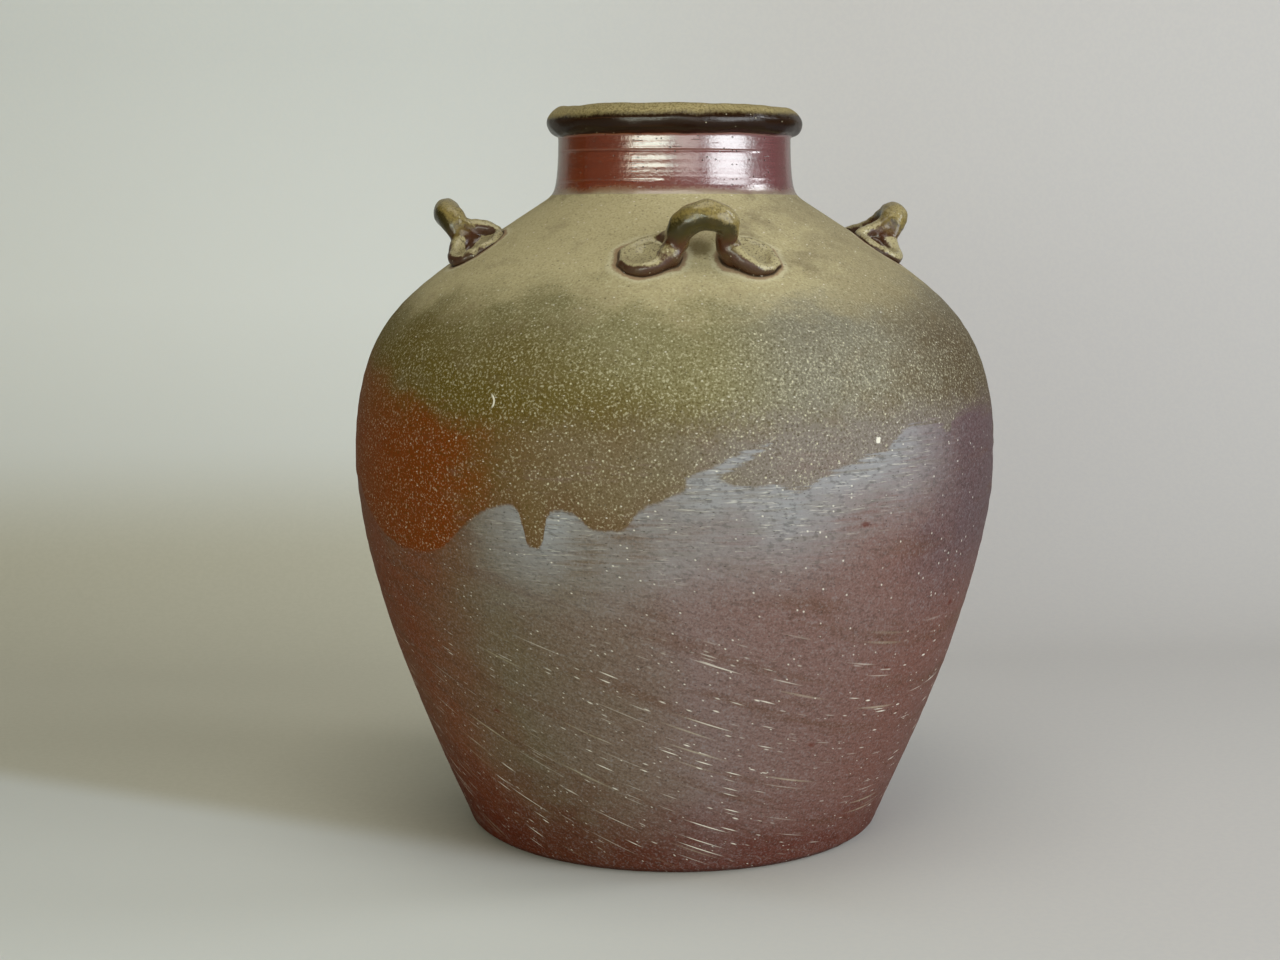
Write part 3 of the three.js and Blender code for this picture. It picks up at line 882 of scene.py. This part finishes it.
def wall_material(name):
    """The wall from foot to neck: bare clay, silver flashing and a painted reflection below the ash's edge,
    then ash over the shoulder.
    """
    g = Graph(name)
    side, z = g.side, g.z
    broad, medium, fine, grain = (g.noise(*kind) for kind in (BROAD, MEDIUM, FINE, GRAIN))
    rings = g.noise((120, 120, 4.5), 4, 0.62)
    striae = g.noise((24, 24, 1.3), 3, 0.6)
    # The same about zero
    broad0, medium0, fine0 = broad - 0.5, medium - 0.5, fine - 0.5
    # Drag lines run slantwise round the lower wall, along lines of one slant value
    lean = side * math.cos(DRAG_TURN) + g.ahead * math.sin(DRAG_TURN)
    slant = z + lean * z.fade(205, 60, DRAG_RISE)
    dragged = g.node("ShaderNodeCombineXYZ", {}, g.x, g.y, slant).outputs["Vector"]
    bands = g.noise((70, 70, 6), 4, 0.6, dragged)
    dashes = g.noise((3.0, 3.0, 0.95), 2, 0.6, dragged)

    # Bare clay, browner to the left and rosier to the right, and red at the foot
    tone = side * 0.5 + 0.5 + broad0 * 0.35
    clay = g.ramp(tone, [(0.03, FLASHED_BROWN), (0.22, GREIGE), (0.5, MAUVE), (0.88, ROSE_BROWN)])
    violet = (side + medium0 * 0.3).fade(0.5, 0.8) * z.fade(96, 150)
    red_reach = z + medium0 * 50 + side * 12
    clay = g.layered(
        clay,
        (violet * 0.85, VIOLET_BROWN),
        (bands.fade(0.5, 0.7, 0.4), EDGE_BROWN),
        (red_reach.fade(46, -4, 0.8), FOOT_RED),
        (dashes.fade(0.5, 0.7, 0.3), SOOT),
        (dashes.fade(0.45, 0.3, 0.15), SILVER),
        (grain.fade(0.5, 0.68, 0.3), SOOT),
        (grain.fade(0.46, 0.34, 0.22), SILVER))

    # The silvery flashing below the ash's edge: its own colour, with a painted reflection of the lamps laid
    # over it, brightest in front, and painted glints
    wisps = (striae - 0.5) * side.fade(-0.1, 0.2) * 11
    flow = g.marked("flow") + fine0 * 2.6 + medium0 * 4 + wisps
    flow = flow * side.fade(0.6, 0.88, 0.18, 1)
    depth = g.marked("depth") + medium0 * 16
    silver_and_painted_sheen = depth.fade(50, 2) * side.fade(-0.72, -0.45) * side.fade(0.82, 0.5)
    silver_and_painted_sheen = silver_and_painted_sheen * (broad + striae * 0.5).fade(0.45, 0.8)
    brightest_silver_and_sheen = depth.fade(26, 2) * side.fade(-0.3, -0.02) * side.fade(0.75, 0.42)
    silver_and_painted_sheen = g.most(silver_and_painted_sheen, brightest_silver_and_sheen * 0.9)
    glints = g.noise((7, 7, 0.6), 2, 0.6, None, (3, 7, 9))
    colour = g.layered(
        clay,
        (silver_and_painted_sheen * 0.88, SILVER),
        (striae.fade(0.46, 0.66) * silver_and_painted_sheen * 0.4, DUN),
        (dashes.fade(0.52, 0.66) * silver_and_painted_sheen * 0.4, SOOT),
        (glints.fade(0.58, 0.7) * silver_and_painted_sheen * 0.4, GRIT_WHITE))

    # Ash: brown and thin from its edge up, rusty on the left, then thick khaki over the shoulder
    ash = flow.fade(-0.9, 1.1)
    across = side * 0.5 + 0.5 + broad0 * 0.25
    thin = g.ramp(across, [(0.22, DUN_LEFT), (0.4, DUN_MIDDLE), (0.56, DUN_RIGHT), (0.78, DUN_RIGHT),
                           (0.95, DUN_FAR)])
    rust_top = z + (side + 0.75) * 70 + medium0 * 20
    rust = (side + medium0 * 0.3).fade(-0.56, -0.74) * rust_top.fade(206, 186)
    thin = g.layered(
        thin,
        (flow.fade(12, 0, 0.4) * side.fade(0.05, -0.3), EDGE_BROWN),
        ((medium + striae * 0.5).fade(0.75, 1.0, 0.4), MAUVE),
        (rust * 0.88, RUST),
        (grain.fade(0.52, 0.68, 0.55), OLIVE_DARK),
        (grain.fade(0.44, 0.32, 0.3), CREAM))
    level = z + fine0 * 18 + medium0 * 20 - side * 3
    thick = level.fade(184, 206) * (1 - rust * 0.75)
    pads = g.marked("pads") + medium0 * 6 + fine0 * 2
    ashen = g.layered(
        thin,
        (thick, khaki_ash(g, grain, fine, medium, broad)),
        # Painted shade where each lug's arch casts its shadow on the shoulder
        (g.marked("shade") * 0.7, OLIVE_DARK),
        (pads.fade(5.0, 2.6, 0.3), CREAM),
        (pads.fade(2.6, 1.2, 0.6), HALO_RED),
        # Painted crease shade: dark where a lug's clay meets the shoulder
        (g.marked("pads").fade(0.9, 0.1, 0.85), SOOT))
    colour = g.mix(ash, colour, ashen)

    # Grit, streaks and pits
    grit = g.spots((2.6, 2.6, 1.4), 0.14, 0.05, 0.25, dragged)
    low_wall = z.fade(3, 12) * z.fade(116, 84)
    patchy = g.noise(34, 2, 0.5, None, (9, 9, 9)).fade(0.42, 0.6, 1, 0.25)
    tails = g.spots((40, 40, 1.5), 0.13, 0.0, 0.42, dragged, (7, 3, 1))
    long_cuts = g.spots((34, 34, 0.9), 0.08, 0.1, 0.38, dragged, (1, 9, 5))
    short_cuts = g.spots((13, 13, 0.95), 0.09, 0.1, 0.36, dragged, (2, 5, 3))
    dots = g.spots((5.5, 5.5, 1.2), 0.08, 0.1, 0.34, dragged, (8, 2, 4))
    cuts = g.most(g.most(long_cuts, short_cuts), dots) * low_wall * patchy
    cream = g.spots(2.3, 0.2, 0.05, 0.26, None, (4, 4, 4)) * ash * z.fade(262, 225, 1, 0.25)
    cream = cream * side.fade(-0.75, -0.3, 1, 0.3)
    specks = g.spots((2.4, 2.4, 1.3), 0.2, 0.05, 0.25, None, (11, 2, 8))
    nick = abs(g.distance(NICK) - 3.2).fade(0.55, 0.2) * (g.x - NICK[0]).fade(0.6, 1.8)
    big_grain = (g.distance(BIG_GRAIN) + fine * 2.4).fade(2.6, 2.0)
    bare = 1 - ash
    blush = g.spots((16, 16, 9), 0.05, 0.05, 0.2, None, (3, 8, 1)) * bare
    inner = g.marked("inner")
    colour = g.layered(
        colour,
        (grit * 0.7, GRIT_WHITE),
        (tails * low_wall * 0.32, CREAM),
        (cuts * 0.9, GRIT_WHITE),
        (cream * 0.75, CREAM),
        (specks * 0.6, SOOT),
        (g.most(nick, big_grain) * 0.9, GRIT_WHITE),
        (blush * 0.6, FOOT_RED),
        (inner, INSIDE_BROWN))

    roughness = silver_and_painted_sheen * -0.13 + 0.47 + ash * 0.08 + thick * ash * 0.1 + fine0 * 0.2 + inner * 0.15
    relief = (grain * 0.12 * (ash * 0.9 + 0.4) + fine * 0.16 + rings * 0.12 + striae * bare * 0.07
              + dashes * bare * 0.06 + medium * 0.35 + grit * 0.12 + cuts * 0.1 - specks * 0.18
              + cream * 0.16 + bands * bare * 0.2)
    return g.finish(colour, roughness, relief, ior=1.14)


def neck_material(name):
    """Bare clay made glossy by the fire, with a little ash at the foot of the neck."""
    g = Graph(name)
    broad, medium, fine, grain = (g.noise(*kind) for kind in (BROAD, MEDIUM, FINE, GRAIN))
    rings = g.noise((60, 60, 1.3), 3, 0.6)
    tone = g.side * 0.5 + 0.5 + (medium - 0.5) * 0.3
    ash = (g.z - fine * 1.6 - grain * 1.2 + medium * 5).fade(287.8, 280.6)
    pits = g.spots((1.9, 1.9, 1.5), 0.2, 0.08, 0.28)
    drags = g.spots((8, 8, 0.8), 0.05, 0.1, 0.34, None, (5, 1, 2))
    inner = g.marked("inner")
    colour = g.layered(
        NECK_ORANGE,
        (tone.fade(0.12, 0.72), NECK_VIOLET),
        (rings.fade(0.45, 0.7, 0.16), LIP_RED),
        (ash, g.mix(0.14, khaki_ash(g, grain, fine, medium, broad), OLIVE_DARK)),
        (pits * 0.7, SOOT),
        (drags * 0.4, SOOT),
        (inner, INSIDE_BROWN))
    roughness = ash * 0.45 + 0.21 + (fine - 0.5) * 0.2 + inner * 0.25
    relief = rings * 0.05 + fine * 0.16 - pits * 0.3 - drags * 0.12 + grain * ash * 0.12
    return g.finish(colour, roughness, relief, coat=0.7, ior=2.3)


def rim_material(name):
    """Olive ash on top of the lip over a dark glossy face."""
    g = Graph(name)
    broad = g.noise(18, 3, 0.5)
    rings = g.noise((60, 60, 1.6), 4, 0.6)
    fine = g.noise(1.3, 3, 0.65)
    grain = g.noise(0.9, 2, 0.6)
    fine0 = fine - 0.5
    level = g.z + (broad - 0.5) * 3 + fine0 * 2.4 - g.side * 0.7
    top = level.fade(314.6, 317.6)
    specks = g.spots((2.2, 2.2, 1.5), 0.12, 0.05, 0.22)
    inner = g.marked("inner")
    colour = g.layered(
        LIP_BROWN,
        # Darker red low on the lip's face: its own dark red, deepened by painted shade where the face turns
        # down
        (level.fade(312.2, 309.2), LIP_RED),
        (rings.fade(0.5, 0.7, 0.35), RIM_BROWN),
        (top, g.mix(grain.fade(0.42, 0.66, 0.7), RIM_OLIVE, OLIVE)),
        (specks * 0.6, CREAM),
        (inner, INSIDE_BROWN))
    roughness = top * 0.4 + 0.2 + fine0 * 0.2 + inner * 0.3
    relief = rings * 0.1 + fine * 0.12 + grain * top * 0.14 + broad * 0.5
    return g.finish(colour, roughness, relief, ior=1.44)


def lug_material(name):
    """Olive ash on top of the arch and on the pads, over glossy dark clay."""
    g = Graph(name)
    broad = g.noise(9, 3, 0.5)
    fine = g.noise(1.4, 3, 0.65)
    grain = g.noise(0.9, 2, 0.6)
    broad0, fine0 = broad - 0.5, fine - 0.5
    height = g.marked("rise")
    rise = height + broad0 * 7 + fine0 * 3
    skyward = g.marked("sky") + fine0 * 0.7 + broad0 * 0.5
    pad = (g.marked("pad") + fine0 * 0.6).fade(0.2, 0.65)
    top = skyward.fade(-0.25, 0.2) * rise.fade(5, 15)
    ashy = g.most(pad, top)
    pad_ash = g.mix(grain.fade(0.5, 0.68, 0.7), PAD_OLIVE, OLIVE_DARK)
    arch_ash = g.layered(
        OLIVE_GOLD,
        (skyward.fade(0.3, 0.75), RIM_OLIVE),
        (grain.fade(0.46, 0.66, 0.6), OLIVE_DARK))
    specks = g.spots(1.8, 0.16, 0.05, 0.24)
    colour = g.layered(
        LEG_GREEN,
        (rise.fade(15, 9), LEG_BROWN),
        (rise.fade(5.0, 2.0), RIM_BROWN),
        (broad.fade(0.5, 0.7, 0.5), OLIVE_DARK),
        (pad * skyward.fade(0.06, 0.45) * 0.94, pad_ash),
        (top * 0.95, arch_ash),
        (specks * ashy * 0.7, CREAM),
        # Painted crease shade: dark where the lug meets the shoulder
        (height.fade(0.4, -0.2), SOOT))
    roughness = ashy * 0.31 + 0.22 + fine0 * 0.2
    relief = fine * 0.14 + grain * (ashy * 0.12 + 0.04) + broad * 0.3
    return g.finish(colour, roughness, relief, coat=0.5, ior=1.42)


# Pieces, one for each node of the part
LIP_OUT, LIP_IN = length_at(LIP_SEAT), length_at(LIP_SEAT, True)
NECK_OUT, NECK_IN = length_at(NECK_HEIGHT), length_at(NECK_HEIGHT, True)
BELLY_OUT, BELLY_IN = length_at(BELLY_HEIGHT), length_at(BELLY_HEIGHT, True)
FLOOR_OUT, FLOOR_EDGE = length_at(FLOOR), SKIN_LENGTHS[-1] - (FOOT_RADIUS - WALL - FLOOR_FILLET)
turned = {
    "base_slab": [(0, FLOOR_OUT, 1.4), (FLOOR_EDGE, SKIN_LENGTHS[-1], 2.5)],
    "lower_wall": [(FLOOR_OUT, BELLY_OUT, 1.25), (BELLY_IN, FLOOR_EDGE, 3.2)],
    "upper_wall": [(BELLY_OUT, NECK_OUT, 1.15), (NECK_IN, BELLY_IN, 3.2)],
    "neck_collar": [(NECK_OUT, LIP_OUT, 0.35), (LIP_IN, NECK_IN, 0.9)],
    "rim_roll": [(LIP_OUT, LIP_IN, 0.4)],
}
slots = {"base_slab": "bare_foot", "lower_wall": "flashed_body", "upper_wall": "ash_shoulder",
         "neck_collar": "glossy_neck", "rim_roll": "ash_rim", **{lug: "ash_lug" for lug in LUGS}}
builders = {"glossy_neck": neck_material, "ash_rim": rim_material, "ash_lug": lug_material}
materials = {slot: builders.get(slot, wall_material)(slot) for slot in dict.fromkeys(slots.values())}
pieces = {}
for name, runs in turned.items():
    runs = [(start, end, step * COARSE) for start, end, step in runs]
    pieces[name] = turned_piece(name, runs, materials[slots[name]])
for name in LUGS:
    pieces[name] = lug_piece(name, materials["ash_lug"])
for name in ("base_slab", "lower_wall", "upper_wall"):
    points = points_of(pieces[name])
    degrees = np.degrees(np.arctan2(points[:, 0], -points[:, 1]))
    mark(pieces[name], "flow", above_edge(degrees, points[:, 2]))
    mark(pieces[name], "depth", below_edge(degrees, points[:, 2]))
    mark(pieces[name], "pads", pad_distance(points))
    mark(pieces[name], "shade", arch_shade(points))
for name, piece in pieces.items():
    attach(piece, "root")
    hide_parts(name)


# Stage, lights and camera, in metres: where the floor ends, bends and rises into the backdrop
FLOOR_REACH, BEND_START, BEND_RADIUS = 2.2, 0.3, 0.4
BACKDROP_TOP, BACKDROP_HALF = 2.6, 3.0
# Soft panels of light: azimuth in degrees, zero in front of the jar and growing to the right, distance,
# height, width and height of the panel, power in watts and tint
PANELS = {
    "key_light": (47, 1.35, 0.42, (0.95, 0.8), 10.5, (0.93, 0.97, 1.0)),
    "key_strip": (50, 1.36, 0.34, (1.5, 0.3), 1.6, (0.8, 1.0, 1.0)),
    "side_light": (84, 1.4, 0.95, (0.42, 0.5), 4.5, (0.95, 0.98, 1.0)),
    "fill_light": (-32, 1.4, 0.3, (1.0, 0.55), 4.3, (1.0, 0.88, 0.66)),
    "fill_strip": (-27, 1.41, 0.34, (1.0, 0.3), 3.8, (0.76, 1.0, 0.94)),
    "front_light": (6, 1.6, 0.38, (0.6, 0.7), 2.6, (1.0, 0.96, 0.9)),
    "top_light": (-20, 0.35, 1.5, (0.9, 0.9), 6.0, (1.0, 0.97, 0.88)),
}
AIM_HEIGHT = 0.17
# What the world gives as light, besides the pale room that the camera sees
ROOM_LIGHT = (0.08, 0.078, 0.07, 1)
CAMERA_PLACE = (-0.10285, -0.89323, 0.2731)
CAMERA_DOWN, CAMERA_TURN = 0.1314, math.radians(-5.6)
CAMERA_LENS = 56.27


def sweep():
    """A pale floor that curves up into the backdrop."""
    bend = np.linspace(0, math.pi / 2, 32)
    curve = [(BEND_START + BEND_RADIUS * math.sin(t), BEND_RADIUS * (1 - math.cos(t))) for t in bend]
    line = [(-FLOOR_REACH, 0.0)] + curve + [(BEND_START + BEND_RADIUS, BACKDROP_TOP)]
    points = [(x, y, z) for y, z in line for x in (-BACKDROP_HALF, BACKDROP_HALF)]
    faces = [(k, k + 1, k + 3, k + 2) for k in range(0, len(points) - 2, 2)]
    g = Graph("backdrop")
    mottle = g.noise(3.0, 2, 0.5)
    # Painted light and shade that even out the backdrop: lighter part way up the bend, darker to the right
    # where the key light falls
    paper = g.ramp(g.z * 0.002, [(0, BACKDROP), (0.14, BACKDROP_LOW), (0.42, BACKDROP_BEND),
                                 (0.8, BACKDROP_HIGH)])
    paper = g.mix(g.x.fade(-150, 260), paper, BACKDROP_RIGHT)
    # The warm shadow painted to the left of the jar; the dim room beyond the sides of the backdrop; and the
    # whole backdrop dimmed part way towards that room in reflections
    beside = g.y + g.x * 0.61 + 105
    shade = beside.fade(-20, 20) * g.x.fade(110, -145) * g.x.fade(-560, -400) * g.z.fade(115, 35)
    paper = g.mix(shade, paper, SHADOW_TINT, "MULTIPLY")
    rays = g.node("ShaderNodeLightPath").outputs
    seen, mirrored = Value(g, rays["Is Camera Ray"]), Value(g, rays["Is Glossy Ray"])
    sides = abs(g.x).fade(640, 820) * g.z.fade(20, 160) * (1 - seen)
    paper = g.layered(paper, (g.most(sides, mirrored * 0.55), BACKDROP_SIDES),
                      (mottle.fade(0.4, 0.6, 0.06), GRIT_WHITE))
    far = g.most(g.y.fade(-350, -1000), abs(g.x).fade(700, 1300))
    material = g.finish(paper, 0.9, mottle * 0.05, faded=far * seen)
    return mesh_piece("backdrop", np.array(points) / MM, faces, material)


def panel(name, azimuth, distance, height, size, power, tint):
    """A soft panel of light that faces the jar and that the camera doesn't see."""
    lamp = bpy.data.lights.new(name, "AREA")
    lamp.shape = "RECTANGLE"
    lamp.size, lamp.size_y = size
    lamp.energy = power
    lamp.color = tint
    piece = placed(name, lamp)
    turn = math.radians(azimuth)
    where = np.array([distance * math.sin(turn), -distance * math.cos(turn), height])
    away = where - np.array([0, 0, AIM_HEIGHT])
    piece.location = where
    piece.rotation_euler = (math.acos(away[2] / np.linalg.norm(away)), 0, math.atan2(away[0], -away[1]))
    piece.visible_camera = False
    return piece


sweep()
for name, lamp in PANELS.items():
    panel(name, *lamp)

scene = bpy.context.scene
world = bpy.data.worlds.new("studio")
world.use_nodes = True
tree = world.node_tree
light = tree.nodes.new("ShaderNodeMix")
light.data_type = "RGBA"
light.inputs[6].default_value, light.inputs[7].default_value = ROOM_LIGHT, linear(BACKDROP_RIGHT)
tree.links.new(tree.nodes.new("ShaderNodeLightPath").outputs["Is Camera Ray"], light.inputs[0])
tree.links.new(light.outputs[2], tree.nodes["Background"].inputs["Color"])
scene.world = world
scene.view_settings.view_transform = "Standard"

lens = bpy.data.cameras.new("camera")
lens.lens = CAMERA_LENS
camera = placed("camera", lens)
camera.location = CAMERA_PLACE
camera.rotation_euler = (math.pi / 2 - CAMERA_DOWN, 0, CAMERA_TURN)
scene.camera = camera
